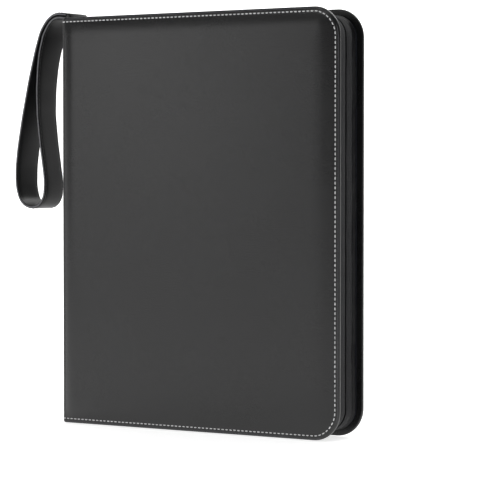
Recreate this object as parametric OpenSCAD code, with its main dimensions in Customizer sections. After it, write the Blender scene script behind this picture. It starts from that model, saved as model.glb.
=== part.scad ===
// Zip-round coin album with a three-ring mechanism, pocket pages and a hand strap.
// It stands closed on its bottom edge: X runs from the spine to the fore edge, the front cover is at -Y, Z is up.
// The origin is the middle of the spine's bottom edge, at mid-thickness of the spine panel.

/* [Covers] */
// Height of the covers
cover_h = 335; // [325:1:345]
// Reach of the covers past the middle of the spine panel
cover_w = 263; // [258:1:270]
// Thickness of the closed album over both covers
album_t = 42; // [42:1:52]
// Radius of the two fore-edge corners of each cover
corner_r = 23; // [18:1:26]
// Thickness of one padded cover panel
panel_t = 4; // [4:0.5:5]

/* [Rings] */
// Distance between neighbouring rings
ring_pitch = 108; // [100:1:108]
// Radius of a ring, to the middle of its wire
ring_r = 13; // [12:0.5:13]
// Diameter of the ring wire
wire_d = 2.6; // [2.2:0.2:3]

/* [Pages] */
// Height of a pocket page
page_h = 280; // [270:1:284]
// Width of a pocket page
page_w = 216; // [210:1:218]
// Columns of pockets on a page
pocket_cols = 5; // [4:1:5]
// Rows of pockets on a page
pocket_rows = 6; // [5:1:6]
// Diameter of a coin
coin_d = 31; // [24:1:36]
// Thickness of a coin
coin_t = 2.1; // [1.6:0.1:2.1]

/* [Strap] */
// Width of the hand strap
strap_w = 25; // [20:1:28]
// Thickness of the hand strap
strap_t = 2.6; // [2:0.2:3]

/* [Hidden] */
$fn = 64;
eps = 1;                            // overshoot of a cutting shape

black_leather = [0.09, 0.09, 0.095];
navy_lining = [0.06, 0.065, 0.09];
grey_board = [0.55, 0.53, 0.5];
black_metal = [0.12, 0.12, 0.13];
chrome = [0.82, 0.83, 0.85];
clear_film = [0.72, 0.76, 0.8, 0.4];
coin_silver = [0.76, 0.77, 0.78];

// covers, from the outside in: leather skin, foam, board, lining
outer_y = album_t / 2;
inner_y = outer_y - panel_t;
skin_t = 1;
foam_t = 0.8;
lining_t = 0.6;
board_t = panel_t - skin_t - foam_t - lining_t;
lining_inset = 0.6;                 // the lining stops this far inside the turned edge
hinge_gap = 0.5;                    // between a cover or spine panel and the fold strip
spine_x = panel_t / 2;              // inner face of the spine panel
cover_x0 = spine_x + hinge_gap;     // spine side of a cover panel
spine_half = inner_y - hinge_gap;   // half the height of the spine panel across the album
fold_t = 1.2;                       // thickness of the leather fold between spine and cover

// gusset walls and zip, set in from the cover edge
gusset_inset = 4;
gusset_t = 1.2;
gusset_x0 = 4;                      // the gussets and the zip stop this short of the spine
gusset_y = 9;                       // half the gap between the two gusset walls
tape_t = 0.9;
tape_lap = 1.5;                     // the zip tape is sewn this far under the gusset
slit = 0.6;                         // half the gap between the two zip halves
coil_t = 1.4;
tape_inset = gusset_inset + gusset_t;
coil_inset = tape_inset + tape_t;

// ring mechanism, on the spine
ring_x = 19;                        // centre of the closed rings
mid_z = cover_h / 2;
ring_zs = [mid_z - ring_pitch, mid_z, mid_z + ring_pitch];
plate_l = 290;                      // cover plate, along Z
plate_half = 15.5;
plate_t = 0.8;
plate_top = 10.3;
lip_w = 3;                          // the cover plate's turned-in foot
slot_in = 7;                        // wire slots, from this distance off the middle
slot_out = 13.4;
slot_half = 2.3;
flap_l = 281;                       // hinge plates that carry the half rings
flap_x = 3.6;
flap_t = 1;
flap_half = 13;                     // the hinge plates turn about their outer edges
flap_gap = 0.4;
leg_x = 10;                         // the ring's arc ends here, inside a thicker straight foot
foot_r = 1.9;
foot_over = 1.3;                    // the foot reaches this far past the end of the arc
tip_gap = 0.1;                      // half the gap between two ring tips
rivet_zs = [mid_z - 122, mid_z + 122];
rivet_r = 2.15;
rivet_bore_r = 2.2;
rivet_head_r = 4.4;
rivet_clear_r = 3.8;                // hinge plates stay clear of the rivets
lever_x = 7;                        // lever pin
lever_out = 1.8;                    // lever pin past the end of the cover plate
lever_pin_r = 1.2;
lever_bore_r = 1.25;
lever_half = 5;
lever_arm = 11;
lever_tilt = 37;                    // the thumb tab's slope at rest
ear_in = 6.2;
ear_t = 1.4;

// pocket pages
page_z = mid_z - page_h / 2;
margin_w = 14;                      // punched strip of a page
hole_r = 3;
margin_t = 0.5;
film_t = 0.4;
weld_gap = 0.8;                     // thinned weld line where the page folds
front_page_ds = [2.4, 3.9, 5.4];    // front pages, from the middle of the album
coin_page_d = 3.4;
back_page_ds = [5.8, 6.8];
pocket_film_t = 0.3;
pocket_depth = 2.2;
weld_w = 1.6;
coin_drop = 5;                      // coins rest below the middle of their pockets

// strap and zip slider
anchor_t = 4.3;
slider_x = 36;                      // the slider rests on the top edge, near the spine
slider_l = 11;
slider_half = 4.6;
slider_t = 1.4;
post_half = 0.4;
bail_r = 0.9;
pull_l = 24;
pull_half = 3.2;
pull_t = 1.2;

// centre line of the strap's outer leg, then its inner leg, as [x, z] points seen along Y
strap_line = [
    [-2.4, 338], [-8, 339.2], [-14, 339.4], [-20, 337.2], [-25.5, 332.4], [-31, 325], [-36.3, 308],
    [-42.5, 285.5], [-50.3, 252.5], [-54.5, 228], [-56, 212], [-55.4, 196], [-51, 184.6], [-46.5, 179.2],
    [-41.5, 177.6], [-36, 179.8], [-31.6, 187], [-30, 200], [-30, 215], [-33, 233], [-36.6, 255],
    [-38.2, 276], [-36.3, 296], [-32.8, 308.6], [-28.2, 322.2], [-23.4, 329.6], [-18.6, 334],
    [-13.4, 336.4], [-8, 336.3], [-2.4, 335.2]
];

/* ---- shapes used more than once ---- */

// A flat shape drawn in X and Z, given a thickness from y0 to y1
module slab(y0, y1) {
    rotate([90, 0, 0])
        translate([0, 0, -y1])
            linear_extrude(y1 - y0) children();
}

// Outline of a cover from x0 to the fore edge, drawn in by inset, with both fore corners round
module cover_outline(x0, inset) {
    r = corner_r - inset;
    straight_w = cover_w - inset - r - x0;
    union() {
        translate([x0, inset]) square([straight_w, cover_h - 2 * inset]);
        translate([x0, inset + r]) square([straight_w + r, cover_h - 2 * inset - 2 * r]);
        for (z = [inset + r, cover_h - inset - r])
            translate([cover_w - inset - r, z]) circle(r = r);
    }
}

// A wall that runs round the top, the fore edge and the bottom, between two insets
module edge_wall(y0, y1, inset0, inset1) {
    slab(y0, y1)
        difference() {
            cover_outline(gusset_x0, inset0);
            cover_outline(gusset_x0 - eps, inset1);
        }
}

// Puts a front piece on the back of the album
module on_back() {
    mirror([0, 1, 0]) children();
}

// Puts a top piece at the bottom of the album
module at_bottom() {
    translate([0, 0, cover_h]) mirror([0, 0, 1]) children();
}

/* ---- covers ---- */

// Leather skin, turned over the edge of the board
module cover_skin() {
    color(black_leather)
        difference() {
            slab(-outer_y, -inner_y - lining_t) cover_outline(cover_x0, 0);
            slab(-outer_y + skin_t, -inner_y) cover_outline(cover_x0 + skin_t, skin_t);
        }
}

module cover_foam() {
    y0 = -outer_y + skin_t;
    color("dimgray") slab(y0, y0 + foam_t) cover_outline(cover_x0 + skin_t, skin_t);
}

module cover_board() {
    y0 = -outer_y + skin_t + foam_t;
    color(grey_board) slab(y0, y0 + board_t) cover_outline(cover_x0 + skin_t, skin_t);
}

module cover_lining() {
    color(navy_lining)
        slab(-inner_y - lining_t, -inner_y) cover_outline(cover_x0 + lining_inset, lining_inset);
}

// Rounded leather fold between the spine and a cover
module fold_strip() {
    color(black_leather)
        translate([spine_x, -inner_y, 0])
            rotate([0, 0, 180])
                rotate_extrude(angle = 90)
                    translate([panel_t - fold_t, 0]) square([fold_t, cover_h]);
}

module spine_panel(x0, x1, inset) {
    half = spine_half - inset;
    translate([x0, -half, inset]) cube([x1 - x0, 2 * half, cover_h - 2 * inset]);
}

// Bores along X at both rivets
module rivet_bores(r, x0, x1) {
    for (z = rivet_zs)
        translate([x0, 0, z]) rotate([0, 90, 0]) cylinder(r = r, h = x1 - x0);
}

module spine_skin() {
    color(black_leather)
        difference() {
            spine_panel(-spine_x, spine_x - lining_t, 0);
            spine_panel(-spine_x + skin_t, spine_x, skin_t);
        }
}

module spine_board() {
    color(grey_board)
        difference() {
            spine_panel(-spine_x + skin_t, spine_x - lining_t, skin_t);
            rivet_bores(rivet_bore_r, -spine_x, spine_x);
        }
}

module spine_lining() {
    color(navy_lining)
        difference() {
            spine_panel(spine_x - lining_t, spine_x, lining_inset);
            rivet_bores(rivet_bore_r, -spine_x, spine_x + eps);
        }
}

/* ---- gussets and zip ---- */

module gusset() {
    color(black_leather) edge_wall(-inner_y, -gusset_y, gusset_inset, tape_inset);
}

module zip_tape() {
    color(navy_lining) edge_wall(-gusset_y - tape_lap, -slit, tape_inset, coil_inset);
}

module zip_coil() {
    color(black_metal) edge_wall(-slit - coil_t, -slit, coil_inset, coil_inset + coil_t);
}

// Folded tab that closes the end of the zip, on the spine
module zip_tail() {
    tail_h = 13;
    tail_half = 6;
    color(navy_lining)
        translate([spine_x, -tail_half, cover_h - tail_h - lining_inset])
            cube([gusset_x0 - spine_x - hinge_gap, 2 * tail_half, tail_h]);
}

tape_top = cover_h - tape_inset;            // outer face of the closed zip along the top edge
coil_bottom = cover_h - coil_inset - coil_t;
slider_clear = 0.2;
bail_z = tape_top + slider_clear + slider_t + bail_r + 0.2;
bail_x = slider_x + slider_l - 2;

// Two wings joined by a thin post that runs in the slit, with a bail for the pull
module zip_slider() {
    wing_z = tape_top + slider_clear;
    foot_z = coil_bottom - slider_clear - slider_t;
    color(black_metal) {
        for (z = [wing_z, foot_z])
            translate([slider_x, 0, z])
                linear_extrude(slider_t)
                    union() {
                        translate([2, -slider_half]) square([slider_l - 4, 2 * slider_half]);
                        for (x = [2, slider_l - 2])
                            translate([x, 0]) square([4, 2 * slider_half - 3], center = true);
                        for (x = [2, slider_l - 2])
                            for (y = [-1, 1])
                                translate([x, y * (slider_half - 2)]) circle(r = 2);
                    }
        translate([slider_x + 3, -post_half, foot_z])
            cube([slider_l - 6, 2 * post_half, wing_z - foot_z + slider_t]);
        for (y = [-slider_half + 0.2, slider_half - 1.4])
            translate([bail_x, y, wing_z])
                rotate([-90, 0, 0])
                    difference() {
                        union() {
                            translate([0, -(bail_z - wing_z), 0]) cylinder(r = 1.8, h = 1.2);
                            translate([-1.8, -(bail_z - wing_z), 0])
                                cube([3.6, bail_z - wing_z, 1.2]);
                        }
                        translate([0, -(bail_z - wing_z), -eps])
                            cylinder(r = bail_r + 0.05, h = 1.2 + 2 * eps);
                    }
    }
}

// Pull with its own pin in the bail, lying along the zip
module zip_pull() {
    color(black_metal) {
        translate([bail_x, -slider_half + 0.2, bail_z])
            rotate([-90, 0, 0]) cylinder(r = bail_r, h = 2 * slider_half - 0.4);
        difference() {
            translate([bail_x, 0, bail_z - pull_t / 2])
                linear_extrude(pull_t)
                    union() {
                        translate([0, -pull_half + 0.4]) square([pull_l - pull_half, 2 * pull_half - 0.8]);
                        translate([pull_l - pull_half, 0]) circle(r = pull_half);
                    }
            translate([bail_x + pull_l - pull_half, 0, bail_z - pull_t])
                cylinder(r = 1.3, h = 2 * pull_t);
        }
    }
}

/* ---- strap ---- */

// Unit normal of the strap's centre line at point i
function strap_dir(i) =
    let (a = strap_line[max(i - 1, 0)], b = strap_line[min(i + 1, len(strap_line) - 1)])
    let (v = b - a)
    [-v[1], v[0]] / norm(v);

function strap_side(s) = [for (i = [0 : len(strap_line) - 1]) strap_line[i] + s * strap_t / 2 * strap_dir(i)];

function reversed(list) = [for (i = [len(list) - 1 : -1 : 0]) list[i]];

// One leather strap folded into a long loop, both ends sewn to the top of the spine
module strap() {
    color(black_leather)
        slab(-strap_w / 2, strap_w / 2)
            polygon(concat(strap_side(1), reversed(strap_side(-1))));
}

// Block of folded leather on the spine's top edge, between the strap's two ends
module strap_anchor() {
    color(black_leather)
        translate([-spine_x, -strap_w / 2, cover_h])
            cube([2 * spine_x, strap_w, anchor_t]);
}

/* ---- ring mechanism ---- */

plate_z = mid_z - plate_l / 2;
flap_z = mid_z - flap_l / 2;
lever_z = plate_z + plate_l + lever_out;
leg_angle = acos((leg_x - ring_x) / ring_r);
leg_y = ring_r * sin(leg_angle);
tip_angle = asin(tip_gap / ring_r);

// Channel over the hinge plates, with turned-in feet, wire slots and an ear each side of each lever
module ring_cover_plate() {
    color(black_metal)
        difference() {
            union() {
                translate([plate_top - plate_t, -plate_half, plate_z]) cube([plate_t, 2 * plate_half, plate_l]);
                for (y = [-plate_half, plate_half - plate_t])
                    translate([spine_x, y, plate_z]) cube([plate_top - spine_x, plate_t, plate_l]);
                for (y = [-plate_half, plate_half - lip_w])
                    translate([spine_x, y, plate_z]) cube([plate_t, lip_w, plate_l]);
                for (z = [plate_z - 2 * lever_out, plate_z + plate_l - 2 * lever_out])
                    for (y = [-ear_in - ear_t, ear_in])
                        translate([lever_x - 2.2, y, z]) cube([plate_top - lever_x + 2.2, ear_t, 4 * lever_out]);
            }
            for (z = ring_zs)
                for (y = [-slot_out, slot_in])
                    translate([plate_top - plate_t - eps, y, z - slot_half])
                        cube([plate_t + 2 * eps, slot_out - slot_in, 2 * slot_half]);
            rivet_bores(rivet_bore_r, plate_top - 2 * plate_t, plate_top + eps);
            for (z = [lever_z, cover_h - lever_z])
                translate([lever_x, -ear_in - 2 * ear_t, z])
                    rotate([-90, 0, 0]) cylinder(r = lever_bore_r, h = 2 * ear_in + 4 * ear_t);
        }
}

// Two rivets through the cover plate into the spine board, with low round heads
module ring_rivets() {
    post_x0 = -spine_x + skin_t;
    head_t = 1.4;
    color(chrome)
        for (z = rivet_zs)
            translate([0, 0, z])
                rotate([0, 90, 0]) {
                    translate([0, 0, post_x0]) cylinder(r = rivet_r, h = plate_top - post_x0);
                    translate([0, 0, plate_top])
                        cylinder(r1 = rivet_head_r, r2 = rivet_head_r - 1.2, h = head_t);
                }
}

module hinge_plate() {
    color(black_metal)
        difference() {
            translate([flap_x, -flap_half, flap_z]) cube([flap_t, flap_half - flap_gap, flap_l]);
            rivet_bores(rivet_clear_r, flap_x - eps, flap_x + flap_t + eps);
        }
}

// Three half rings: an arc from the tip down into a straight foot on the hinge plate
module half_rings() {
    color(chrome)
        for (z = ring_zs)
            translate([ring_x, 0, z]) {
                rotate([0, 0, -leg_angle])
                    rotate_extrude(angle = leg_angle - tip_angle)
                        translate([ring_r, 0]) circle(d = wire_d);
                translate([flap_x + flap_t - ring_x, -leg_y, 0])
                    rotate([0, 90, 0]) cylinder(r = foot_r, h = leg_x + foot_over - flap_x - flap_t);
            }
}

// Thumb lever on its pin, at the top end of the cover plate
module ring_lever() {
    tab_t = 1.4;
    color(black_metal)
        translate([lever_x, 0, lever_z]) {
            rotate([-90, 0, 0])
                translate([0, 0, -ear_in - ear_t])
                    cylinder(r = lever_pin_r, h = 2 * (ear_in + ear_t));
            rotate([0, -lever_tilt, 0])
                difference() {
                    translate([0, -lever_half, -tab_t / 2]) cube([lever_arm, 2 * lever_half, tab_t]);
                    translate([lever_arm - 2, 0, -tab_t])
                        difference() {
                            translate([0, -lever_half - eps, 0])
                                cube([2 + eps, 2 * (lever_half + eps), 2 * tab_t]);
                            translate([-4, 0, 0]) scale(1) cylinder(r = 6, h = 2 * tab_t);
                        }
                }
        }
}

/* ---- pocket pages ---- */

// Where the ring wire passes a page at distance d from the middle of the album
function hole_x(d) = ring_x + sqrt(ring_r * ring_r - d * d);

// Punched strip at distance d: three ring holes and short and long binder slots between them
module page_margin(d) {
    slot_r = 1.6;
    short_slots = [[76, 3], [121, 3]];
    long_slot = [37, 10];
    color(clear_film)
        slab(-d - margin_t / 2, -d + margin_t / 2)
            difference() {
                translate([hole_x(d) - margin_w / 2, page_z])
                    square([margin_w - weld_gap / 2, page_h]);
                for (z = ring_zs)
                    translate([hole_x(d), z]) circle(r = hole_r);
                for (s = concat(short_slots, [long_slot]))
                    for (side = [-1, 1])
                        translate([hole_x(d), mid_z + side * s[0]])
                            square([2 * slot_r, s[1]], center = true);
            }
}

// Pocket panel of a page, from y0 to y1, hanging from the weld line of a margin at distance d
module page_film(d, y0, y1) {
    x0 = hole_x(d) + margin_w / 2 + weld_gap / 2;
    x1 = hole_x(d) - margin_w / 2 + page_w;
    color(clear_film) slab(y0, y1) translate([x0, page_z]) square([x1 - x0, page_h]);
}

module empty_panel(d) {
    page_film(d, -d - film_t / 2, -d + film_t / 2);
}

pocket_x0 = hole_x(coin_page_d) + margin_w / 2 + weld_gap / 2;
pocket_w = (page_w - margin_w - weld_gap / 2) / pocket_cols;
pocket_h = page_h / pocket_rows;
pocket_y0 = coin_page_d - pocket_depth / 2;
pocket_y1 = coin_page_d + pocket_depth / 2;

// Weld lines that join the coin page's two films round every pocket
module coin_page_welds() {
    color(clear_film)
        slab(pocket_y0, pocket_y1)
            translate([pocket_x0, page_z])
                difference() {
                    square([pocket_w * pocket_cols, page_h]);
                    for (c = [0 : pocket_cols - 1])
                        for (r = [0 : pocket_rows - 1])
                            translate([c * pocket_w + weld_w / 2, r * pocket_h + weld_w / 2])
                                square([pocket_w - weld_w, pocket_h - weld_w]);
                }
}

// One row of coins, row 1 at the top
module coins_row(row) {
    z = page_z + page_h - (row - 0.5) * pocket_h - coin_drop;
    color(coin_silver)
        for (c = [0 : pocket_cols - 1])
            translate([pocket_x0 + (c + 0.5) * pocket_w, coin_page_d - coin_t / 2, z])
                rotate([-90, 0, 0]) cylinder(d = coin_d, h = coin_t);
}

/* ---- the sub-parts ---- */

cover_skin();  // front_cover_skin
cover_foam();  // front_cover_foam
cover_board();  // front_cover_board
cover_lining();  // front_cover_lining
on_back() cover_skin();  // back_cover_skin
on_back() cover_foam();  // back_cover_foam
on_back() cover_board();  // back_cover_board
on_back() cover_lining();  // back_cover_lining
spine_skin();
spine_board();
spine_lining();
fold_strip();  // front_fold_strip
on_back() fold_strip();  // back_fold_strip
gusset();  // front_gusset
on_back() gusset();  // back_gusset
zip_tape();  // front_zip_tape
on_back() zip_tape();  // back_zip_tape
zip_coil();  // front_zip_coil
on_back() zip_coil();  // back_zip_coil
zip_tail();  // zip_tail_top
at_bottom() zip_tail();  // zip_tail_bottom
zip_slider();
zip_pull();
strap_anchor();
strap();
ring_cover_plate();
ring_rivets();
hinge_plate();  // front_hinge_plate
on_back() hinge_plate();  // back_hinge_plate
half_rings();  // front_half_rings
on_back() half_rings();  // back_half_rings
ring_lever();  // top_lever
at_bottom() ring_lever();  // bottom_lever
page_margin(front_page_ds[0]);  // front_page_1_margin
page_margin(front_page_ds[1]);  // front_page_2_margin
page_margin(front_page_ds[2]);  // front_page_3_margin
empty_panel(front_page_ds[0]);  // front_page_1_panel
empty_panel(front_page_ds[1]);  // front_page_2_panel
empty_panel(front_page_ds[2]);  // front_page_3_panel
on_back() page_margin(coin_page_d);  // coin_page_margin
on_back() page_film(coin_page_d, -pocket_y0, -pocket_y0 + pocket_film_t);  // coin_page_front_film
on_back() page_film(coin_page_d, -pocket_y1 - pocket_film_t, -pocket_y1);  // coin_page_back_film
coin_page_welds();
on_back() page_margin(back_page_ds[0]);  // back_page_2_margin
on_back() page_margin(back_page_ds[1]);  // back_page_3_margin
on_back() empty_panel(back_page_ds[0]);  // back_page_2_panel
on_back() empty_panel(back_page_ds[1]);  // back_page_3_panel
coins_row(1);  // coins_row_1
coins_row(2);  // coins_row_2
coins_row(3);  // coins_row_3
coins_row(4);  // coins_row_4
coins_row(5);  // coins_row_5
coins_row(6);  // coins_row_6
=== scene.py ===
"""Looks of a zip-round coin album: padded black leather, gussets, zip, rings, pocket pages and coins."""

import math

import bmesh
import bpy
import numpy as np
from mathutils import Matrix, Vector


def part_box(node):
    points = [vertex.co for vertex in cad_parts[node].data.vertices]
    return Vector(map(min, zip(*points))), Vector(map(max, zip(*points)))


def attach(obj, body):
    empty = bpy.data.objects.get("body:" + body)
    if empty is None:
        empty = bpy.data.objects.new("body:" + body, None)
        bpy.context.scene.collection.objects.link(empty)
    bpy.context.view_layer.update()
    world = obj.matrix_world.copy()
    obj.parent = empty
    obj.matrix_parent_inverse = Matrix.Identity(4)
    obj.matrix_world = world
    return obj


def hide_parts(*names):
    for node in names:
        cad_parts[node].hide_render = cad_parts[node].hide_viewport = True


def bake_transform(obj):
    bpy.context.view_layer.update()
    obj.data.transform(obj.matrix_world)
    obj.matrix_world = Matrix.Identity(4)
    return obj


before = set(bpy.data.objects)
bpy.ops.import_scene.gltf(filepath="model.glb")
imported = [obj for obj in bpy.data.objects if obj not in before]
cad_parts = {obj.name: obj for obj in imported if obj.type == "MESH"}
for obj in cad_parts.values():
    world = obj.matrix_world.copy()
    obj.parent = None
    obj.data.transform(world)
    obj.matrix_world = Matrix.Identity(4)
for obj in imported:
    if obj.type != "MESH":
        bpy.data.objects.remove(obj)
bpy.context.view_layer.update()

MM = 0.001


def corners(node):
    """Lowest and highest corner of a CAD node, as arrays."""
    low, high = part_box(node)
    return np.array(low), np.array(high)


# ---- sizes taken from the CAD nodes ----

skin_low, skin_high = corners("front_cover_skin")
lining_high = corners("front_cover_lining")[1]
spine_high = corners("spine_skin")[1]
gusset_low, gusset_high = corners("front_gusset")
tape_low, tape_high = corners("front_zip_tape")
coil_low = corners("front_zip_coil")[0]
COVER_X0 = skin_low[0]
COVER_X1 = skin_high[0]
COVER_H = skin_high[2]
OUTER_Y = -skin_low[1]
INNER_Y = -lining_high[1]
PANEL_T = OUTER_Y - INNER_Y
CORNER_R = 23 * MM
STITCH_INSET = 3.6 * MM
STITCH_PITCH = 3.7 * MM
RIM_DROP = 0.9 * MM  # the stitched rim is this much thinner than the panel
SHEET_GAP = 0.6 * MM  # the leather's inner corner stands this far behind the spine lining
LINING_X0 = COVER_X0 + 6 * MM  # the lining panel starts this far from the fold
SPINE_HALF = 16.5 * MM  # half the width of the spine's flat, between the folds
VIEW_TURN = math.radians(32.13)  # the camera and the floor are turned by this about z


# ---- camera, lights and floor ----

def add_camera():
    data = bpy.data.cameras.new("camera")
    data.sensor_width = 36
    data.lens = 36 * 2241.6 / 480
    data.clip_start = 0.01
    camera = bpy.data.objects.new("camera", data)
    camera.location = (1.1112, -1.5136, 0.2058)
    camera.rotation_euler = (math.radians(90 - 1.681), 0, VIEW_TURN)
    bpy.context.collection.objects.link(camera)
    bpy.context.scene.camera = camera


def add_light(name, place, target, size, power):
    data = bpy.data.lights.new(name, "AREA")
    data.shape = "RECTANGLE"
    data.size, data.size_y = size
    data.energy = power
    light = bpy.data.objects.new(name, data)
    light.location = place
    toward = np.array(target) - np.array(place)
    flat = math.hypot(toward[0], toward[1])
    light.rotation_euler = (math.atan2(flat, -toward[2]), 0, math.atan2(-toward[0], toward[1]))
    bpy.context.collection.objects.link(light)


def add_studio():
    add_camera()
    add_light("front_panel", (-1.08, -1.68, 0.52), (0.10, 0, 0.20), (0.62, 0.7), 2.5)
    add_light("key_light", (-0.5, -1.9, 1.9), (0.1, 0, 0.2), (1.4, 1.0), 6)
    add_light("top_light", (0.2, 0.3, 2.2), (0.1, 0, 0.1), (2.0, 2.0), 13)
    add_light("back_light", (0.6, 2.2, 2.4), (-0.2, 2.6, 0.4), (2.5, 1.5), 60)
    world = bpy.data.worlds.new("studio")
    world.use_nodes = True
    world.node_tree.nodes["Background"].inputs["Color"].default_value = (1, 1, 1, 1)
    world.node_tree.nodes["Background"].inputs["Strength"].default_value = 0.14
    bpy.context.scene.world = world
    bpy.context.scene.view_settings.view_transform = "Standard"


# ---- shader maths ----

class Term:
    """A node socket that can stand in sums: + - * and / add Math nodes."""

    def __init__(self, paint, socket):
        self.paint, self.socket = paint, socket

    def maths(self, operation, *values):
        return self.paint.node("Math", {"operation": operation}, dict(enumerate(values)))

    def __add__(self, other):
        return self.maths("ADD", self, other)

    def __sub__(self, other):
        return self.maths("SUBTRACT", self, other)

    def __rsub__(self, other):
        return self.maths("SUBTRACT", other, self)

    def __mul__(self, other):
        return self.maths("MULTIPLY", self, other)

    def __truediv__(self, other):
        return self.maths("DIVIDE", self, other)

    __radd__ = __add__
    __rmul__ = __mul__

    def sine(self):
        return self.maths("SINE", self)

    def fraction(self):
        return self.maths("FRACT", self)

    def absolute(self):
        return self.maths("ABSOLUTE", self)

    def steps(self, low, high):
        """0 below low, 1 above high, and smooth between."""
        return self.paint.node(
            "MapRange", {"interpolation_type": "SMOOTHSTEP"}, {0: self, 1: low, 2: high, 3: 0.0, 4: 1.0}
        )


class Paint:
    """A material with one Principled shader, whose nodes are added by one method."""

    def __init__(self, name, color, roughness, metallic=0.0, **fixed):
        self.material = bpy.data.materials.new(name)
        self.material.use_nodes = True
        self.tree = self.material.node_tree
        self.shader = self.tree.nodes["Principled BSDF"]
        self.set("Base Color", (*color, 1.0))
        self.set("Roughness", roughness)
        self.set("Metallic", metallic)
        for socket, value in fixed.items():
            self.set(socket.replace("_", " "), value)
        self.material.diffuse_color = (*color, 1.0)

    def join(self, socket, value):
        if isinstance(value, Term):
            self.tree.links.new(value.socket, socket)
        else:
            socket.default_value = value

    def set(self, socket, value):
        self.join(self.shader.inputs[socket], value)

    def node(self, kind, settings, values, output=0):
        made = self.tree.nodes.new("ShaderNode" + kind)
        for name, value in settings.items():
            setattr(made, name, value)
        for name, value in values.items():
            self.join(made.inputs[name], value)
        return Term(self, made.outputs[output])

    def place(self):
        """Object coordinates, in metres from the album's origin."""
        return self.node("TexCoord", {}, {}, "Object")

    def cloth(self):
        """Distances along and across the piece, in metres, that its mesh carries."""
        return self.node("Attribute", {"attribute_name": "cloth"}, {}, "Vector")

    def split(self, vector):
        made = self.node("SeparateXYZ", {}, {0: vector}).socket.node
        return [Term(self, socket) for socket in made.outputs]

    def noise(self, vector, scale, detail=2.0, roughness=0.5):
        values = {"Vector": vector, "Scale": scale, "Detail": detail, "Roughness": roughness}
        return self.node("TexNoise", {}, values)

    def cells(self, vector, scale):
        return self.node("TexVoronoi", {}, {"Vector": vector, "Scale": scale})

    def blend(self, factor, first, second):
        """A colour between two colours."""
        one, two = ((*c, 1.0) if isinstance(c, tuple) else c for c in (first, second))
        return self.node("Mix", {"data_type": "RGBA"}, {0: factor, 6: one, 7: two}, 2)

    def bump(self, height, distance, strength=1.0):
        values = {"Height": height, "Distance": distance, "Strength": strength}
        self.set("Normal", self.node("Bump", {}, values))


def leather_paint(name, color, rough, grain):
    """Smooth black leathercloth: fine pebbles, a little uneven in gloss, with broad soft marks."""
    paint = Paint(name, color, rough, Specular_IOR_Level=0.5, Coat_Weight=0.0)
    place = paint.place()
    pebbles = paint.cells(place, 950.0).steps(0.1, 0.75)
    pores = paint.noise(place, 2600.0, 2.0)
    cloudy = paint.noise(place, 14.0, 3.0)
    paint.bump(pebbles * 0.7 + pores * 0.3, grain, 0.35)
    paint.set("Roughness", cloudy * 0.12 + pores * 0.05 + (rough - 0.085))
    light = tuple(1.35 * c for c in color)
    paint.set("Base Color", paint.blend(cloudy.steps(0.3, 0.7), color, light))
    return paint.material


def gusset_paint():
    """Thin glossy leathercloth of the side walls, creased along and across, with painted shade in the
    crease hollows.
    """
    paint = Paint("gusset_leather", (0.008, 0.008, 0.009), 0.36, Specular_IOR_Level=0.18)
    along, across, _ = paint.split(paint.cloth())
    cloth = paint.node("CombineXYZ", {}, {0: along * 0.35, 1: across * 1.6, 2: 0.0})
    creases = paint.noise(cloth, 260.0, 4.0, 0.6)
    pores = paint.noise(paint.place(), 2400.0, 2.0)
    paint.bump(creases * 0.85 + pores * 0.15, 0.0009, 0.8)
    paint.set("Roughness", creases * 0.2 + 0.26)
    # painted shade: the crease hollows are coloured darker and the crests lighter, following the crease
    # bumps
    raised = creases.steps(0.35, 0.7)
    paint.set("Base Color", paint.blend(raised, (0.004, 0.004, 0.005), (0.012, 0.012, 0.013)))
    return paint.material


def weave_paint(name, dark, light, pitch, rough=0.8):
    """Woven tape: ribs across, crossed by a finer rib along."""
    paint = Paint(name, light, rough, Sheen_Weight=0.05, Specular_IOR_Level=0.3)
    along, across, _ = paint.split(paint.cloth())
    turn = 2 * math.pi / pitch
    ribs = (along * turn + (across * turn).sine() * 0.7).sine() * 0.5 + 0.5
    threads = (across * (turn * 1.5)).sine() * 0.5 + 0.5
    weave = ribs * 0.65 + threads * 0.35
    paint.bump(weave, 0.00025, 0.8)
    wear = paint.noise(paint.place(), 90.0, 3.0)
    paint.set("Base Color", paint.blend((weave * 0.7 + wear * 0.3).steps(0.25, 0.8), dark, light))
    paint.set("Roughness", weave * -0.12 + (rough + 0.06))
    return paint.material


def lining_paint():
    """Close navy cloth with a faint twill."""
    paint = Paint(
        "navy_lining", (0.007, 0.008, 0.015), 0.72, Sheen_Weight=0.08, Specular_IOR_Level=0.3
    )
    x, y, z = paint.split(paint.place())
    turn = 2 * math.pi / 0.0011
    twill = ((x + y * 0.7 + z) * turn).sine() * ((z - x) * (turn * 0.5)).sine() * 0.5 + 0.5
    mottle = paint.noise(paint.place(), 60.0, 4.0)
    paint.bump(twill, 0.00012, 0.7)
    shade = twill * 0.5 + mottle * 0.5
    paint.set("Base Color", paint.blend(shade, (0.004, 0.005, 0.010), (0.010, 0.012, 0.022)))
    paint.set("Roughness", mottle * 0.15 + 0.65)
    return paint.material


def thread_paint():
    """Pale twisted sewing thread."""
    paint = Paint("stitch_thread", (0.80, 0.80, 0.80), 0.7)
    x, y, z = paint.split(paint.place())
    twist = ((x + z * 1.3 + y * 0.6) * (2 * math.pi / 0.0006)).sine() * 0.5 + 0.5
    paint.bump(twist, 0.00012, 0.7)
    paint.set("Base Color", paint.blend(twist, (0.66, 0.66, 0.67), (0.94, 0.94, 0.95)))
    return paint.material


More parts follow.
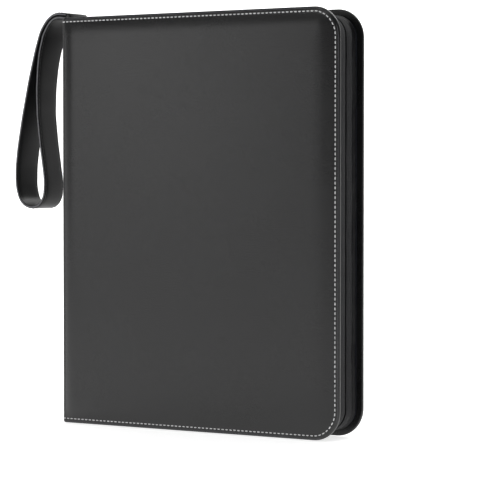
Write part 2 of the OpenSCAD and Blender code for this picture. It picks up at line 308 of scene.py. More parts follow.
def metal_paint(name, color, rough, metallic, brushed=900.0):
    """Metal or enamel with fine scratches and faint smears."""
    paint = Paint(name, color, rough, metallic)
    x, y, z = paint.split(paint.place())
    streaks = paint.noise(paint.node("CombineXYZ", {}, {0: x, 1: y, 2: z * 0.08}), brushed, 2.0)
    smears = paint.noise(paint.place(), 45.0, 3.0)
    paint.bump(streaks, 0.00003, 0.5)
    paint.set("Roughness", smears * 0.16 + streaks * 0.08 + (rough - 0.1))
    shade = tuple(0.8 * c for c in color)
    paint.set("Base Color", paint.blend(smears.steps(0.35, 0.65), color, shade))
    return paint.material


def coin_paint():
    """Struck silver: bright on the relief and grey in its hollows."""
    paint = Paint("struck_silver", (0.72, 0.73, 0.75), 0.28, 1.0)
    height = paint.split(paint.cloth())[2]
    stain = paint.noise(paint.place(), 300.0, 3.0)
    bright = (height * 2600.0 + stain * 0.35).steps(0.05, 0.75)
    paint.set("Base Color", paint.blend(bright, (0.30, 0.31, 0.33), (0.82, 0.83, 0.85)))
    paint.set("Roughness", bright * -0.2 + 0.45)
    paint.bump(stain, 0.00004, 0.5)
    return paint.material


def film_paint(name, body, weld_columns=None):
    """Clear film, faintly blue, with hazy smears. Body is its mean opacity.

    weld_columns gives the first weld's x and the pocket width; the welds across are solid lines and the
    welds up the page are dotted.
    """
    blue = (0.72, 0.78, 0.86)
    paint = Paint(name, blue, 0.30, Specular_IOR_Level=0.45)
    x, y, z = paint.split(paint.place())
    smears = paint.noise(paint.place(), 22.0, 3.0)
    alpha = smears * 0.10 + (body - 0.05)
    if weld_columns:
        first, width = weld_columns
        row = (z - PAGE_Z0) / POCKET_H
        column = (x - first) / width
        near_row = ((row + 0.5).fraction() - 0.5).absolute() * POCKET_H
        near_column = ((column + 0.5).fraction() - 0.5).absolute() * width
        dots = ((x + z) * (2 * math.pi / 0.0032)).sine() * 0.35 + 0.65
        rows = 1 - near_row.steps(0.0003, 0.0009)
        columns = 1 - near_column.steps(0.0003, 0.0009)
        weld = rows.maths("MAXIMUM", rows, columns * dots)
        alpha = alpha + weld * 0.45
        paint.set("Base Color", paint.blend(weld, blue, (0.92, 0.94, 0.96)))
        paint.bump(weld, 0.0003, 0.6)
    else:
        paint.bump(smears, 0.0008, 0.4)
    paint.set("Alpha", alpha)
    paint.set("Roughness", smears * 0.12 + 0.24)
    return paint.material


def board_paint(name, dark, light, scale):
    """Grey board or foam, flecked."""
    paint = Paint(name, light, 0.9)
    flecks = paint.noise(paint.place(), scale, 5.0, 0.7)
    paint.set("Base Color", paint.blend(flecks.steps(0.35, 0.65), dark, light))
    paint.bump(flecks, 0.0002, 0.6)
    return paint.material


def floor_paint():
    """Plain white, lit a little from within."""
    white = (0.93, 0.93, 0.93)
    paint = Paint("studio_floor", white, 0.9, Emission_Color=(1, 1, 1, 1), Emission_Strength=0.74)
    return paint.material


# ---- mesh helpers ----

def grid_faces(rows, columns, wrap_columns=False):
    """Quads of a grid of points, numbered row by row; each row is joined into a ring where it wraps."""
    first = np.arange(rows - 1)
    second = np.arange(columns if wrap_columns else columns - 1)
    i, j = np.meshgrid(first, second, indexing="ij")
    i2, j2 = (i + 1) % rows, (j + 1) % columns
    quads = [i * columns + j, i * columns + j2, i2 * columns + j2, i2 * columns + j]
    return np.stack(quads, -1).reshape(-1, 4)


def grid_part(points, wrap_columns=False, cloth=None):
    """A grid of points with its faces, and the cloth distances that its pattern follows."""
    rows, columns = points.shape[:2]
    faces = grid_faces(rows, columns, wrap_columns)
    cloth = np.zeros(points.shape) if cloth is None else cloth
    return points.reshape(-1, 3), faces, cloth.reshape(-1, 3)


def mirrored(parts):
    """The same parts on the back of the album: y changes sign."""
    return [(points * (1, -1, 1), faces[:, ::-1], cloth) for points, faces, cloth in parts]


def make_piece(name, parts, paint, crease=50):
    """One smooth mesh from several parts: welded, its open ends closed, its faces turned outwards.

    Edges sharper than the crease angle, in degrees, stay sharp.
    """
    starts = np.cumsum([0] + [len(part[0]) for part in parts])
    points = np.concatenate([part[0] for part in parts])
    faces = np.concatenate([part[1] + start for part, start in zip(parts, starts)])
    mesh = bpy.data.meshes.new(name)
    mesh.from_pydata(points.tolist(), [], faces.tolist())
    carried = mesh.attributes.new("cloth", "FLOAT_VECTOR", "POINT")
    distances = np.concatenate([part[2] for part in parts]).astype(np.float32)
    carried.data.foreach_set("vector", distances.ravel())
    body = bmesh.new()
    body.from_mesh(mesh)
    bmesh.ops.remove_doubles(body, verts=body.verts, dist=1e-6)
    bmesh.ops.dissolve_degenerate(body, edges=body.edges, dist=1e-7)
    open_edges = [edge for edge in body.edges if edge.is_boundary]
    if open_edges:
        bmesh.ops.holes_fill(body, edges=open_edges, sides=0)
    bmesh.ops.recalc_face_normals(body, faces=body.faces)
    body.to_mesh(mesh)
    body.free()
    mesh.shade_smooth()
    mesh.set_sharp_from_angle(angle=math.radians(crease))
    mesh.materials.append(paint)
    piece = bpy.data.objects.new(name, mesh)
    bpy.context.collection.objects.link(piece)
    return piece


def settle(piece, body, slot, *nodes):
    """The piece rides on a body and stands for CAD nodes, which it hides; the slot is not used."""
    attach(piece, body)
    if nodes:
        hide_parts(*nodes)


def wobble(s, seed, wavelengths, weights):
    """Sum of sines of the given wavelengths with fixed phases, between about -1 and 1."""
    rng = np.random.default_rng(seed)
    phases = rng.uniform(0, 2 * math.pi, len(wavelengths))
    waves = [
        weight * np.sin(2 * math.pi * s / length + phase)
        for length, weight, phase in zip(wavelengths, weights, phases)
    ]
    return sum(waves) / sum(weights)


# ---- the open edge of a cover ----

def rim(step, x0=COVER_X0):
    """Stations round the open edge: bottom, fore corner, fore edge, corner, top.

    Each has a base point on the line one corner radius inside the edge, and the angle of the outward
    direction, so that a point at inset n is base + (radius - n) * (cos angle, sin angle).
    """
    far, high = COVER_X1 - CORNER_R, COVER_H - CORNER_R
    along = np.linspace(x0, far, int((far - x0) / step) + 1)
    up = np.linspace(CORNER_R, high, int((high - CORNER_R) / step) + 1)
    turn = np.linspace(-90, 0, 17)
    base = np.concatenate([
        np.stack([along, np.full(along.size, CORNER_R)], 1),
        np.tile([far, CORNER_R], (turn.size - 2, 1)),
        np.stack([np.full(up.size, far), up], 1),
        np.tile([far, high], (turn.size - 2, 1)),
        np.stack([along[::-1], np.full(along.size, high)], 1),
    ])
    bend = turn[1:-1]
    level = np.full(along.size, 90.0)
    angle = np.concatenate([-level, bend, np.zeros(up.size), bend + 90, level])
    return base, np.radians(angle)


def rim_length(base, angle, inset):
    """Distance along the rim at an inset, from the bottom of the spine."""
    x, z = rim_xz(base, angle, inset)
    return np.concatenate([[0], np.cumsum(np.hypot(np.diff(x), np.diff(z)))])


def rim_xz(base, angle, inset):
    out = CORNER_R - inset
    return base[:, 0] + out * np.cos(angle), base[:, 1] + out * np.sin(angle)


def even_rim(pitch, inset, start=COVER_X0):
    """Stations an even pitch apart along the rim at an inset."""
    base, angle = rim(0.5 * MM, start)
    length = rim_length(base, angle, inset)
    count = int(length[-1] / pitch)
    at = (np.arange(count) + 0.5) * length[-1] / count
    spaced = [np.interp(at, length, values) for values in (base[:, 0], base[:, 1], angle)]
    return np.stack(spaced[:2], 1), spaced[2]


def rim_sweep(base, angle, inset, y):
    """A profile carried round the rim: inset and y are arrays of (stations, profile points)."""
    out = CORNER_R - inset
    x = base[:, 0, None] + out * np.cos(angle)[:, None]
    z = base[:, 1, None] + out * np.sin(angle)[:, None]
    return np.stack([x, np.broadcast_to(y, x.shape), z], -1)


def crown(x, z):
    """How far the foam lifts the cover's face: a slope up from the stitching, then a slow rise.

    The slope's height is 1 - (1 - t) ** 1.6, with t the distance in from the edge over the slope's width,
    and the four edges' heights are multiplied, which rounds the slope off at the corners.
    """
    half_w, half_h = (COVER_X1 - COVER_X0) / 2, COVER_H / 2
    across = (x - COVER_X0 - half_w) / half_w
    up = (z - half_h) / half_h
    edges = (
        (COVER_X1 - x, 18 * MM),
        (x - COVER_X0 + 2 * MM, 9 * MM),
        (z, 15 * MM),
        (COVER_H - z, 15 * MM),
    )
    flat = 2.2 * MM
    height = 1.0
    for distance, width in edges:
        t = ((distance - flat) / (width - flat)).clip(0, 1)
        height = height * (1 - (1 - t) ** 1.6)
    slow = (1 - across ** 2).clip(0, 1) * (1 - up ** 2).clip(0, 1)
    return (1.9 * height + 0.7 * slow) * MM - RIM_DROP


def edge_profile():
    """Profile of a cover's edge, from the inner face round to the outer one: insets, heights and a place.

    The place is the number of the first point on the outer face.

    A small round at the inside, a straight side, a wide soft round at the outside, then a sewn groove.
    """
    low = np.radians(np.linspace(270, 180, 6))
    high = np.radians(np.linspace(180, 90, 9))
    inner = np.array([CORNER_R / MM, 12, 6.2, 6.0, 4.5, 2.6, 1.6])
    inner_h = np.array([0.3, 0.3, 0.3, 0.02, 0, 0, 0])
    outer = np.array([
        2.6, 2.9, 3.2, 3.4, 3.6, 3.8, 4.0, 4.3, 4.7, 5.3, 6.2, 7.5, 9, 11, 13.5, 16, CORNER_R / MM
    ])
    groove = 0.32 * np.exp(-(((outer - 3.6) / 0.6) ** 2))
    inset = np.concatenate([inner, 0.9 + 0.9 * np.cos(low), 2.3 + 2.3 * np.cos(high), outer])
    height = np.concatenate([inner_h, 0.9 + 0.9 * np.sin(low), 1.7 + 2.3 * np.sin(high), 4.0 - groove])
    outside = inset.size - outer.size - 1
    return inset * MM, height * MM, outside


def cover_parts():
    """A cover's leather: the edge profile swept round the rim, and the flat of each face inside it."""
    base, angle = rim(4 * MM)
    inset, height, outside = edge_profile()
    swept = rim_sweep(base, angle, np.tile(inset, (base.shape[0], 1)), -(INNER_Y + height)[None, :])
    share = ((height - 1.7 * MM) / (2.3 * MM)).clip(0, 1) * (np.arange(inset.size) > outside - 9)
    lift = crown(swept[..., 0], swept[..., 2]) * np.where(np.arange(inset.size) >= outside, 1, share)
    swept[..., 1] -= lift
    far, high = COVER_X1 - CORNER_R, COVER_H - CORNER_R
    xs = np.linspace(COVER_X0, far, int((far - COVER_X0) / (4 * MM)) + 1)
    zs = np.linspace(CORNER_R, high, int((high - CORNER_R) / (4 * MM)) + 1)
    x, z = np.meshgrid(xs, zs, indexing="ij")
    face = np.stack([x, -(OUTER_Y + crown(x, z)), z], -1)
    inside = np.stack([x, np.full(x.shape, -(INNER_Y + 0.3 * MM)), z], -1)
    return [grid_part(swept), grid_part(face), grid_part(inside)]


def lining_parts():
    """The lining panel: a thin sheet with a rounded edge, a little loose over the board."""
    base, angle = rim(4 * MM, LINING_X0)
    edge = 5.4
    inset = np.array([
        CORNER_R / MM, edge + 0.1, edge, edge + 0.1, edge + 0.5, edge + 1.5, 12, CORNER_R / MM
    ]) * MM
    height = np.array([0.4, 0.4, 0.1, -0.1, -0.2, -0.25, -0.3, -0.3]) * MM
    swept = rim_sweep(base, angle, np.tile(inset, (base.shape[0], 1)), -(INNER_Y + height)[None, :])
    far, high = COVER_X1 - CORNER_R, COVER_H - CORNER_R
    xs = np.linspace(LINING_X0, far, int((far - LINING_X0) / (4 * MM)) + 1)
    zs = np.linspace(CORNER_R, high, int((high - CORNER_R) / (4 * MM)) + 1)
    x, z = np.meshgrid(xs, zs, indexing="ij")
    face = np.stack([x, np.full(x.shape, -(INNER_Y - 0.3 * MM)), z], -1)
    under = np.stack([x, np.full(x.shape, -(INNER_Y + 0.4 * MM)), z], -1)
    return [grid_part(swept), grid_part(face), grid_part(under)]


def capsules(centres, along, up, length, radius, lift=0.0):
    """Many short rounded rods in one part, of six sides and five rings each, bowed up by lift."""
    across = np.cross(up, along)
    a = np.array([-1, -0.86, 0, 0.86, 1.0])
    ring = np.array([0, 0.75, 1, 0.75, 0]) * radius
    turn = np.arange(6) * math.pi / 3
    side = ring[:, None] * np.cos(turn)
    rise = ring[:, None] * np.sin(turn) + (lift * (1 - a ** 2))[:, None]
    points = (
        centres[:, None, None]
        + along[:, None, None] * (a * length / 2)[None, :, None, None]
        + across[:, None, None] * side[None, ..., None]
        + up[:, None, None] * rise[None, ..., None]
    )
    rings, sides = a.size, turn.size
    faces = grid_faces(rings, sides, wrap_columns=True)
    many = (faces[None] + (np.arange(len(centres)) * rings * sides)[:, None, None]).reshape(-1, 4)
    return points.reshape(-1, 3), many, np.zeros((points.size // 3, 3))


def cover_stitch_parts():
    """One row of stitches in the sewn groove, each slightly bowed and sunk at its ends."""
    base, angle = even_rim(STITCH_PITCH, STITCH_INSET, COVER_X0 - 3 * MM)
    x, z = rim_xz(base, angle, STITCH_INSET)
    y = -(OUTER_Y + crown(x, z)) + 0.22 * MM
    along = np.stack([-np.sin(angle), 0 * angle, np.cos(angle)], 1)
    up = np.tile([0.0, -1.0, 0.0], (len(x), 1))
    return [capsules(np.stack([x, y, z], 1), along, up, 2.4 * MM, 0.50 * MM, 0.20 * MM)]


# ---- spine and folds ----

def bar_section():
    """Closed section of a leathered panel, as (z, distance from the inside), rounded at both ends."""
    inset, height, outside = edge_profile()
    groove = slice(outside + 1, outside + 11)
    turn = np.radians(np.linspace(170, 90, 8))
    low = np.concatenate([
        [[0.0, 0.3 * MM], [0.0, 1.7 * MM]],
        np.stack([
            2.3 * MM + 2.3 * MM * np.cos(turn), 1.7 * MM + (2.3 * MM - RIM_DROP) * np.sin(turn)
        ], 1),
        np.stack([inset[groove], height[groove] - RIM_DROP], 1),
    ])
    middle = np.linspace(0.04, COVER_H - 0.04, 24)
    face = np.stack([middle, np.full(24, PANEL_T - RIM_DROP)], 1)
    top = low[::-1] * (-1, 1) + (COVER_H, 0)
    back = np.stack([middle[::-1], np.full(24, 0.3 * MM)], 1)
    return np.concatenate([low, face, top, back])


def fold_parts():
    """The leather that bends from the front cover to the spine: the section turned about the corner."""
    section = bar_section()
    turn = np.radians(np.concatenate([[270, 270], np.linspace(270, 180, 15), [180, 180]]))
    slide_x = np.concatenate([[0.5, 0.25], np.zeros(17)]) * MM
    slide_y = np.concatenate([np.zeros(17), [0.25, 0.5]]) * MM
    z, reach = section[None, :, 0], section[None, :, 1]
    x = spine_high[0] + SHEET_GAP + slide_x[:, None] + reach * np.cos(turn)[:, None]
    y = -INNER_Y + slide_y[:, None] + reach * np.sin(turn)[:, None]
    points = np.stack([x, y, np.broadcast_to(z, x.shape)], -1)
    return [grid_part(points, wrap_columns=True)]


def spine_parts():
    """The spine's leather, a little bowed outwards between the folds."""
    section = bar_section()
    y = np.linspace(-1, 1, 25) * SPINE_HALF
    z, reach = section[None, :, 0], section[None, :, 1]
    bow = 0.7 * MM * (1 - (y / SPINE_HALF) ** 2)[:, None] * (reach / PANEL_T) ** 2
    x = spine_high[0] + SHEET_GAP - reach - bow
    points = np.stack([x, np.broadcast_to(y[:, None], x.shape), np.broadcast_to(z, x.shape)], -1)
    return [grid_part(points, wrap_columns=True)]


# ---- gussets and zip ----

def wall_parts(stations, inset, y):
    """A thin wall round the rim, whose closed section has the given insets and y at each station."""
    base, angle = stations
    length = rim_length(base, angle, 4 * MM)
    points = rim_sweep(base, angle, inset, y)
    cloth = np.stack([
        np.broadcast_to(length[:, None], inset.shape), y + inset, np.zeros(inset.shape)
    ], -1)
    return [grid_part(points, wrap_columns=True, cloth=cloth)]


def gusset_parts(sink):
    """The side wall, folded like a bellows: it bulges out by the cover, and sinks at the crease.

    Sink is how far its sewn side is drawn in under the cover. A narrow groove runs along by the tape.
    """
    stations = rim(2.5 * MM, gusset_low[0])
    length = rim_length(*stations, 4 * MM)[:, None]
    v = np.linspace(0, 1, 15)[None, :]
    y0, y1 = INNER_Y, -gusset_high[1]
    slow = wobble(length, 3, [0.083, 0.047, 0.026], [1.0, 0.7, 0.4])
    quick = wobble(length + 0.004 * v, 5, [0.013, 0.0083, 0.021], [1.0, 0.6, 0.8])
    fold = 0.9 * np.sin(2 * math.pi * v) * (1 + 0.35 * slow)
    groove = 1.1 * np.exp(-(((v - 0.95) / 0.06) ** 2))
    inset = (4.55 - fold + 0.45 * v + 0.22 * quick * np.sin(math.pi * v) + 0.25 * slow * v + groove) * MM
    inset = inset + sink * (1 - v) ** 2
    y = -(y0 + (y1 - y0) * v + 0.25 * MM * slow * np.sin(math.pi * v))
    inset = np.concatenate([inset, inset[:, ::-1] + 0.7 * MM], 1)
    y = np.concatenate([y, y[:, ::-1]], 1) * np.ones(inset.shape)
    return wall_parts(stations, inset, y)


def tape_parts():
    """One half of the zip's woven tape, its folded edge a little wavy along the slit."""
    stations = rim(2.5 * MM, tape_low[0])
    length = rim_length(*stations, 4 * MM)[:, None]
    v = np.linspace(0, 1, 9)[None, :]
    y0, y1 = -tape_low[1], max(-tape_high[1], 1.1 * MM)
    wave = wobble(length, 8, [0.031, 0.017, 0.058], [0.6, 0.4, 1.0])
    roll = np.array([0.8, 0.4, 0.1, 0, 0, 0, 0.05, 0.25, 0.55])[None, :]
    inset = (5.2 + roll + 0.12 * wave * v) * MM
    y = -(y0 + (y1 - y0) * v - 0.18 * MM * wave * v ** 3)
    inset = np.concatenate([inset, np.full(inset.shape, 6.05 * MM)], 1)
    y = np.concatenate([y, y[:, ::-1]], 1) * np.ones(inset.shape)
    return wall_parts(stations, inset, y)


def coil_parts(shift):
    """The zip's nylon coil: a cord, and one rounded turn per tooth.

    The teeth reach past the middle, and shift moves them along to lie between the other half's teeth.
    """
    inset = 6.8 * MM
    base, angle = even_rim(1.6 * MM, inset, coil_low[0] + shift)
    x, z = rim_xz(base, angle, inset)
    reach = (coil_low[1] + 0.3 * MM, 0.45 * MM)
    middle = np.full(x.size, sum(reach) / 2)
    along = np.tile([0.0, 1.0, 0.0], (x.size, 1))
    up = np.stack([np.cos(angle), 0 * angle, np.sin(angle)], 1)
    teeth = capsules(np.stack([x, middle, z], 1), along, up, reach[1] - reach[0], 0.42 * MM)
    cord_base, cord_angle = rim(3 * MM, coil_low[0])
    turn = np.linspace(0, 2 * math.pi, 8, endpoint=False)
    cord_inset = np.tile(7.0 * MM + 0.4 * MM * np.cos(turn), (len(cord_angle), 1))
    y = (coil_low[1] + 0.45 * MM + 0.4 * MM * np.sin(turn))[None, :]
    cord = grid_part(rim_sweep(cord_base, cord_angle, cord_inset, y), wrap_columns=True)
    return [teeth, cord]


# ---- strap ----

STRAP_LINE = np.array([
    [-2.4, 338], [-7, 339.1], [-11.5, 339.2], [-16.6, 337.2], [-21.7, 332.4], [-26.4, 325], [-32.2, 308],
    [-38.5, 285.5], [-46.1, 252.5], [-50.8, 228], [-52.9, 212], [-53, 196], [-50, 184.6], [-44.2, 179.2],
    [-37, 177.6], [-29.8, 179.8], [-25, 187], [-24.4, 200], [-26.6, 215], [-29.4, 233], [-31.9, 255],
    [-32, 276], [-30.2, 296], [-27.8, 308.6], [-23.4, 322.2], [-19.4, 329.6], [-15.6, 334],
    [-11.4, 336.2], [-7.4, 336.2], [-2.4, 335.2],
]) * MM

STRAP_HALF = 12.5 * MM
STRAP_T = 2.6 * MM
STRAP_TURNS = np.array([  # how far along the strap, from 0 to 1, and how many degrees it is turned there
    [0, 0], [0.03, 6], [0.09, 12], [0.25, 10], [0.42, 8], [0.52, 3],
    [0.62, 0], [0.75, 1], [0.84, 6], [0.92, 13], [0.98, 7], [1, 0],
])
STRAP_SECTION = np.array([  # half of the strap's section: how far across, and how thick, from 0 to 1
    [1.0, 0.0], [0.985, 0.55], [0.95, 0.82], [0.9, 0.86], [0.86, 0.80],
    [0.82, 0.86], [0.76, 0.95], [0.6, 1], [0.3, 1], [0.0, 1],
])


def smooth_line(points, step, blur):
    """Points an even step apart along a polyline, averaged over a bell of the given width, ends held."""
    length = np.concatenate([[0], np.cumsum(np.hypot(*np.diff(points, axis=0).T))])
    at = np.linspace(0, length[-1], int(length[-1] / step) + 1)
    even = np.stack([np.interp(at, length, points[:, k]) for k in (0, 1)], 1)
    reach = int(3 * blur / step)
    bell = np.exp(-0.5 * (np.arange(-reach, reach + 1) * step / blur) ** 2)
    ends = [2 * even[0] - even[reach:0:-1], even, 2 * even[-1] - even[-2:-reach - 2:-1]]
    wide = np.concatenate(ends)
    return np.stack([np.convolve(wide[:, k], bell / bell.sum(), "valid") for k in (0, 1)], 1), at


def strap_frame():
    """Centre line, width direction and face normal of the strap, turned a little where it hangs free."""
    line, at = smooth_line(STRAP_LINE, 1.5 * MM, 3 * MM)
    share = at / at[-1]
    lean = np.radians(np.interp(share, STRAP_TURNS[:, 0], STRAP_TURNS[:, 1]))
    centre = np.stack([line[:, 0], np.zeros(len(line)), line[:, 1]], 1)
    along = np.gradient(centre, axis=0)
    along /= np.linalg.norm(along, axis=1, keepdims=True)
    side = np.stack([np.sin(lean), np.cos(lean), np.zeros(len(line))], 1)
    side -= along * (side * along).sum(1, keepdims=True)
    side /= np.linalg.norm(side, axis=1, keepdims=True)
    return centre, along, side, np.cross(side, along), at


def strap_parts():
    """Rounded flat section carried along the strap's line: pillowed faces, sewn edges pinched thin."""
    centre, along, side, up, at = strap_frame()
    half = np.concatenate([STRAP_SECTION[:, 0], -STRAP_SECTION[-2::-1, 0]])
    thick = np.concatenate([STRAP_SECTION[:, 1], STRAP_SECTION[-2::-1, 1]])
    across = np.concatenate([half, half[-2:0:-1]]) * STRAP_HALF
    rise = np.concatenate([thick, -thick[-2:0:-1]]) * STRAP_T / 2
    points = centre[:, None] + side[:, None] * across[None, :, None] + up[:, None] * rise[None, :, None]
    cloth = np.stack(np.broadcast_arrays(at[:, None], across[None], 0.0), -1)
    return [grid_part(points, wrap_columns=True, cloth=cloth)]


def strap_stitch_parts():
    """A row of stitches near each edge, on the outside of the loop."""
    centre, along, side, up, at = strap_frame()
    count = int(at[-1] / (3.4 * MM))
    wanted = (np.arange(count) + 0.5) * at[-1] / count
    c, a, s, u = (
        np.stack([np.interp(wanted, at, vectors[:, k]) for k in range(3)], 1)
        for vectors in (centre, along, side, up)
    )
    parts = []
    for edge in (-1, 1):
        place = c + s * (edge * 0.86 * STRAP_HALF) + u * (0.80 * STRAP_T / 2)
        parts.append(capsules(place, a, u, 2.7 * MM, 0.30 * MM, 0.10 * MM))
    return parts


def strap_paint(color, rough):
    """The album's leathercloth, with a painted highlight along its cut edges."""
    paint = Paint("strap_leather", color, rough, Specular_IOR_Level=0.18)
    _, across, _ = paint.split(paint.cloth())
    grain = paint.cells(paint.place(), 950.0).steps(0.1, 0.75)
    fine_noise = paint.noise(paint.place(), 700.0, 3.0)
    # painted highlight: the cut edges are coloured pale grey to stand in for the light they catch; the
    # fine noise only wobbles the line
    edge = (across.absolute() + fine_noise * 0.0004).steps(STRAP_HALF - 0.0002, STRAP_HALF + 0.0002)
    paint.set("Base Color", paint.blend(edge, color, (0.16, 0.16, 0.17)))
    paint.set("Roughness", edge * 0.3 + fine_noise * 0.08 + (rough - 0.04))
    paint.bump(grain * 0.6 + fine_noise * 0.4, 0.00016, 0.35)
    return paint.material


def rounded_block(low, high, radius):
    """A block with soft edges: a sphere's directions, squared off to a box by a small power."""
    theta = np.linspace(0, math.pi, 20)[:, None]
    phi = np.linspace(0, 2 * math.pi, 28, endpoint=False)[None, :]
    unit = np.stack(np.broadcast_arrays(
        np.sin(theta) * np.cos(phi), np.sin(theta) * np.sin(phi), np.cos(theta)), -1)
    size = (np.array(high) - np.array(low)) / 2
    core = size - radius
    squared = np.sign(unit) * np.abs(unit) ** 0.35
    squared /= np.abs(squared).max(-1, keepdims=True)
    points = (np.array(high) + np.array(low)) / 2 + squared * core + unit * radius
    return [grid_part(points, wrap_columns=True)]


# ---- coins ----

(POCKETS_X0, _, PAGE_Z0), (POCKETS_X1, _, PAGE_Z1) = corners("coin_page_welds")
POCKET_COLUMNS = 5
POCKET_ROWS = 6
POCKET_W = (POCKETS_X1 - POCKETS_X0) / POCKET_COLUMNS
POCKET_H = (PAGE_Z1 - PAGE_Z0) / POCKET_ROWS


def coin_relief(r, turn):
    """Height of the struck face, for radius r from 0 to 1: a raised rim, a ring of beads, and a rosette.

    The rosette is a petal curve of eight lobes about a small star, with a ring of short rays outside it.
    """
    rim_height = 1 / (1 + np.exp(-(r - 0.925) * 160))
    beads = np.exp(-(((r - 0.87) / 0.022) ** 2)) * (0.5 + 0.5 * np.cos(36 * turn))
    petal = 0.30 + 0.34 * np.abs(np.cos(4 * turn)) ** 0.8
    leaf = 1 / (1 + np.exp((r - petal) * 40))
    vein = np.exp(-((np.sin(4 * turn) * r / 0.05) ** 2)) * leaf
    star = 1 / (1 + np.exp((r - 0.13 - 0.06 * np.cos(6 * turn)) * 60))
    rays = np.exp(-(((r - 0.76) / 0.035) ** 2)) * (np.cos(18 * turn) > 0)
    height = 0.16 * rim_height + 0.10 * beads + 0.20 * leaf * (1 - r) - 0.05 * vein + 0.12 * star
    return (height + 0.07 * rays) * MM


def coin_parts(centre, radius, thickness, turned):
    """A coin facing -Y: two struck faces on polar grids, and a reeded edge between them."""
    r = np.array([
        0.0, 0.06, 0.13, 0.2, 0.28, 0.36, 0.45, 0.54, 0.63, 0.7, 0.76, 0.82, 0.87, 0.91, 0.94, 0.985, 1.0
    ])
    around = 72
    turn = np.linspace(0, 2 * math.pi, around, endpoint=False)
    flat = thickness / 2 - 0.22 * MM
    height = coin_relief(r[:, None], turn[None, :] + turned)
    height[-1] -= 0.08 * MM
    reed = radius * (1 - 0.004 * (np.arange(around) % 2) * (r[:, None] > 0.99))
    x = centre[0] + r[:, None] * reed * np.cos(turn)
    z = centre[2] + r[:, None] * reed * np.sin(turn)
    front = np.stack([x, centre[1] - flat - height, z], -1)
    back = np.stack([x, centre[1] + flat + height, z], -1)
    points = np.concatenate([front, back[::-1]])
    cloth = np.zeros(points.shape)
    cloth[..., 2] = np.concatenate([height, height[::-1]])
    return grid_part(points, wrap_columns=True, cloth=cloth)


def coin_row_parts(row):
    low, high = corners(f"coins_row_{row}")
    radius = (high[2] - low[2]) / 2
    rng = np.random.default_rng(row)
    parts = []
    for column in range(POCKET_COLUMNS):
        x = POCKETS_X0 + (column + 0.5) * POCKET_W
        middle = (x, (low[1] + high[1]) / 2, (low[2] + high[2]) / 2)
        parts.append(coin_parts(middle, radius, high[1] - low[1], rng.uniform(-0.12, 0.12)))
    return parts


# ---- build ----

def build_covers(leather, lining, thread):
    for side, turn in (("front", list), ("back", mirrored)):
        body = f"{side}_cover"
        cover = make_piece(f"{side}_cover_leather", turn(cover_parts()), leather)
        settle(cover, body, "black_leather", f"{side}_cover_skin")
        panel = make_piece(f"{side}_lining_panel", turn(lining_parts()), lining)
        settle(panel, body, "lining", f"{side}_cover_lining")
        stitches = make_piece(f"{side}_cover_stitches", turn(cover_stitch_parts()), thread)
        settle(stitches, body, "black_leather")


def build_spine(leather, lining):
    spine = make_piece("spine_leather", spine_parts(), leather)
    settle(spine, "spine", "black_leather", "spine_skin")
    front = make_piece("front_fold_leather", fold_parts(), leather)
    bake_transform(front)
    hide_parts("front_fold_strip")
    back = make_piece("back_fold_leather", mirrored(fold_parts()), leather)
    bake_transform(back)
    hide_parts("back_fold_strip")
    low, high = corners("spine_lining")
    sheet = make_piece("spine_lining_panel", rounded_block(low, high, 0.28 * MM), lining)
    settle(sheet, "spine", "lining", "spine_lining")


def build_edges(gusset, tape, coil):
    for side, turn in (("front", list), ("back", mirrored)):
        body = f"{side}_cover"
        sink = 2.4 * MM if side == "back" else 0
        wall = make_piece(f"{side}_gusset_wall", turn(gusset_parts(sink)), gusset)
        settle(wall, body, "black_leather", f"{side}_gusset")
        woven = make_piece(f"{side}_tape_half", turn(tape_parts()), tape)
        settle(woven, body, "zip_tape", f"{side}_zip_tape")
        shift = 0.8 * MM if side == "back" else 0
        teeth = make_piece(f"{side}_coil_row", turn(coil_parts(shift)), coil)
        settle(teeth, body, "zip_coil", f"{side}_zip_coil")
    for end in ("top", "bottom"):
        low, high = corners(f"zip_tail_{end}")
        tail = make_piece(f"zip_tail_{end}_fold", rounded_block(low, high, 0.6 * MM), tape)
        settle(tail, "spine", "zip_tape", f"zip_tail_{end}")


def build_strap(leather, thread):
    strap = make_piece("hand_strap", strap_parts(), strap_paint((0.0075, 0.0075, 0.0078), 0.38))
    settle(strap, "strap", "black_leather", "strap")
    stitches = make_piece("hand_strap_stitches", strap_stitch_parts(), thread)
    settle(stitches, "strap", "black_leather")
    low, high = corners("strap_anchor")
    block = rounded_block(low - (0.2 * MM, 0, 0.4 * MM), high, 1.2 * MM)
    tab = make_piece("strap_anchor_tab", block, leather)
    settle(tab, "spine", "black_leather", "strap_anchor")


def build_coins(silver):
    for row in range(1, POCKET_ROWS + 1):
        coins = make_piece(f"coin_row_{row}", coin_row_parts(row), silver, crease=70)
        settle(coins, "back_panels", "coin_silver", f"coins_row_{row}")


def paint_nodes(names, paint):
    for name in names:
        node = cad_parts[name]
        for k in range(len(node.material_slots)):
            node.material_slots[k].material = paint
        if not node.material_slots:
            node.data.materials.append(paint)


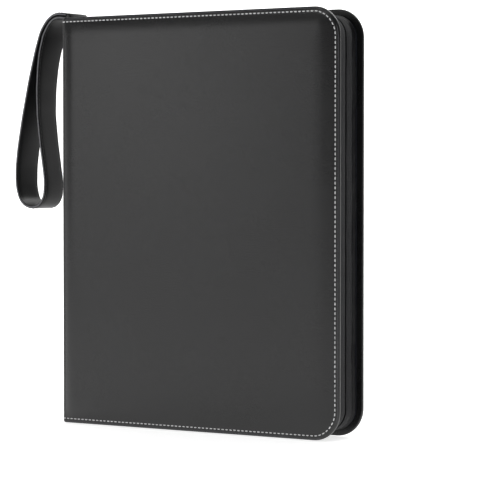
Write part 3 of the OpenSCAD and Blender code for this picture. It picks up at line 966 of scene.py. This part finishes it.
def paint_cad(enamel, chrome):
    enamelled = [
        "zip_slider", "zip_pull", "ring_cover_plate", "top_lever", "bottom_lever", "front_hinge_plate",
        "back_hinge_plate",
    ]
    paint_nodes(enamelled, enamel)
    paint_nodes(["front_half_rings", "back_half_rings", "ring_rivets"], chrome)
    board = board_paint("grey_board", (0.16, 0.15, 0.14), (0.30, 0.28, 0.26), 500.0)
    foam = board_paint("dark_foam", (0.05, 0.05, 0.055), (0.10, 0.10, 0.11), 1600.0)
    paint_nodes(["front_cover_board", "back_cover_board", "spine_board"], board)
    paint_nodes(["front_cover_foam", "back_cover_foam"], foam)
    margin = film_paint("margin_film", 0.22)
    pocket = film_paint("pocket_film", 0.10)
    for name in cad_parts:
        if name.endswith("_margin"):
            paint_nodes([name], margin)
        elif name.endswith("_panel"):
            low, high = corners(name)
            columns = (low[0], (high[0] - low[0]) / POCKET_COLUMNS)
            paint_nodes([name], film_paint(f"{name}_film", 0.085, columns))
    paint_nodes(["coin_page_front_film", "coin_page_back_film"], pocket)
    paint_nodes(["coin_page_welds"], film_paint("weld_film", 0.6))


def add_floor():
    """A pale floor that sweeps up into a wall behind the album."""
    back, bend, top = 2.5, 1.5, 4.0
    turn = np.linspace(0, math.pi / 2, 16)
    away = np.concatenate([[-4.0, 0.0], back + bend * np.sin(turn), [back + bend]])
    height = np.concatenate([[0.0, 0.0], bend * (1 - np.cos(turn)), [top]])
    across = np.array([-14.0, 14.0])
    x, y = np.meshgrid(across, away, indexing="ij")
    local = np.stack([x, y, np.broadcast_to(height - 0.0004, x.shape)], -1)
    cos, sin = math.cos(VIEW_TURN), math.sin(VIEW_TURN)
    turned = local @ np.array([[cos, sin, 0], [-sin, cos, 0], [0, 0, 1]])
    mesh = bpy.data.meshes.new("floor")
    mesh.from_pydata(turned.reshape(-1, 3).tolist(), [], grid_faces(2, away.size).tolist())
    mesh.shade_smooth()
    mesh.materials.append(floor_paint())
    floor = bpy.data.objects.new("floor", mesh)
    bpy.context.collection.objects.link(floor)


def build():
    add_studio()
    add_floor()
    leather = leather_paint("album_leather", (0.0070, 0.0070, 0.0073), 0.27, 0.00012)
    thread = thread_paint()
    lining = lining_paint()
    tape = weave_paint("zip_tape_weave", (0.004, 0.004, 0.005), (0.017, 0.017, 0.019), 0.0011)
    coil = metal_paint("nylon_coil", (0.012, 0.012, 0.013), 0.35, 0.0)
    enamel = metal_paint("black_enamel", (0.018, 0.018, 0.019), 0.30, 0.3)
    chrome = metal_paint("bright_chrome", (0.78, 0.79, 0.80), 0.14, 1.0)
    build_covers(leather, lining, thread)
    build_spine(leather, lining)
    build_edges(gusset_paint(), tape, coil)
    build_strap(leather, metal_paint("black_thread", (0.03, 0.03, 0.03), 0.6, 0.0))
    build_coins(coin_paint())
    paint_cad(enamel, chrome)


build()
